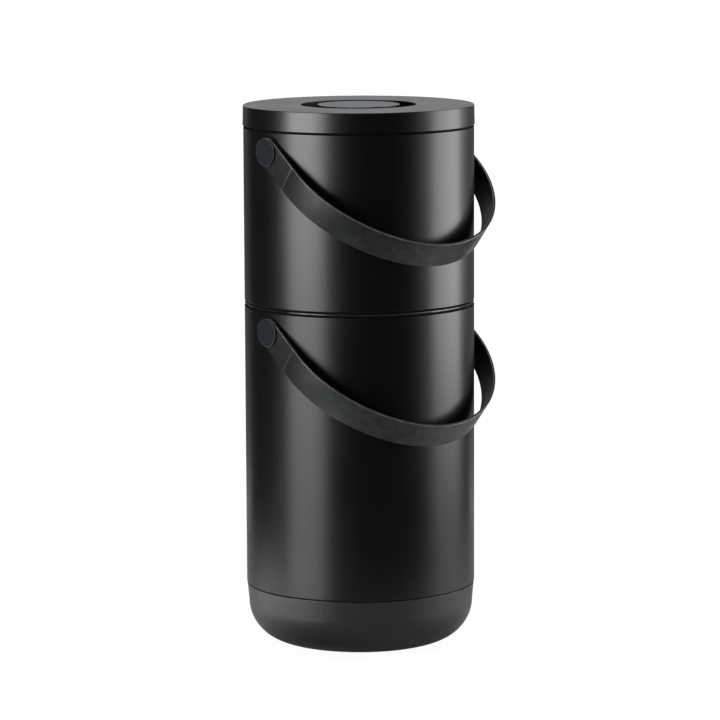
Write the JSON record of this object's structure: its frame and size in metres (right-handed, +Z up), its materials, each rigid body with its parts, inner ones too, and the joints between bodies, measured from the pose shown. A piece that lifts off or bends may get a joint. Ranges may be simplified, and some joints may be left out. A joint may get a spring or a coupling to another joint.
{
  "type": "stacking compost bin",
  "caption": "Round black indoor compost bin in stacked tiers, with a lift-off lid gripped through a ring-shaped finger well and a swinging silicone strap handle on each tier.",
  "frame": {"origin": "centre of the anti-slip pad's underside, on the floor", "axes": "+Z up along the bin's axis; the handles turn about lines along X and hang towards -Y at rest"},
  "size_m": [0.2536, 0.2624, 0.5646],
  "materials": {
    "black_powder_coat": "satin powder coat",
    "lid_powder_coat": "satin powder coat",
    "grip_grey": "satin",
    "base_black": "satin moulded",
    "bead_black": "gloss",
    "collar_black": "matte moulded",
    "liner_grey": "matte moulded",
    "strap_silicone": "matte silicone",
    "button_grey": "matte moulded",
    "seal_silicone": "matte silicone",
    "pad_rubber": "matte",
    "fastener_steel": "plain",
    "spacer_nylon": "matte"
  },
  "bodies": {
    "lower_bin": {"lower_body": "black_powder_coat", "lower_base": "base_black", "lower_rim": "collar_black", "foot_pad": "pad_rubber", "lower_buttons": "button_grey", "lower_pivot_pins": "fastener_steel", "lower_pivot_spacers": "spacer_nylon", "lower_pivot_washers": "spacer_nylon", "lower_pivot_nuts": "fastener_steel"},
    "upper_bin": {"upper_body": "black_powder_coat", "upper_base": "bead_black", "upper_rim": "collar_black", "stack_seal": "seal_silicone", "upper_buttons": "button_grey", "upper_pivot_pins": "fastener_steel", "upper_pivot_spacers": "spacer_nylon", "upper_pivot_washers": "spacer_nylon", "upper_pivot_nuts": "fastener_steel"},
    "lid": {"lid_shell": "lid_powder_coat", "lid_grip": "grip_grey", "lid_grip_screws": "fastener_steel", "lid_liner": "liner_grey", "lid_seal": "seal_silicone"},
    "upper_handle": {"upper_strap": "strap_silicone", "upper_strap_eyelets": "fastener_steel"},
    "lower_handle": {"lower_strap": "strap_silicone", "lower_strap_eyelets": "fastener_steel"}
  },
  "joints": [
    {"name": "upper_bin_lift", "type": "slide", "parent": "lower_bin", "child": "upper_bin", "axis": [0, 0, 1], "range_m": [0, 0.25]},
    {"name": "lid_lift", "type": "slide", "parent": "upper_bin", "child": "lid", "axis": [0, 0, 1], "range_m": [0, 0.15]},
    {"name": "upper_handle_swing", "type": "hinge", "parent": "upper_bin", "child": "upper_handle", "pos_m": [0, 0, 0.5223], "axis": [-1, 0, 0], "range_deg": [0, 256.8]},
    {"name": "lower_handle_swing", "type": "hinge", "parent": "lower_bin", "child": "lower_handle", "pos_m": [0, 0, 0.33655], "axis": [-1, 0, 0], "range_deg": [0, 55]}
  ]
}
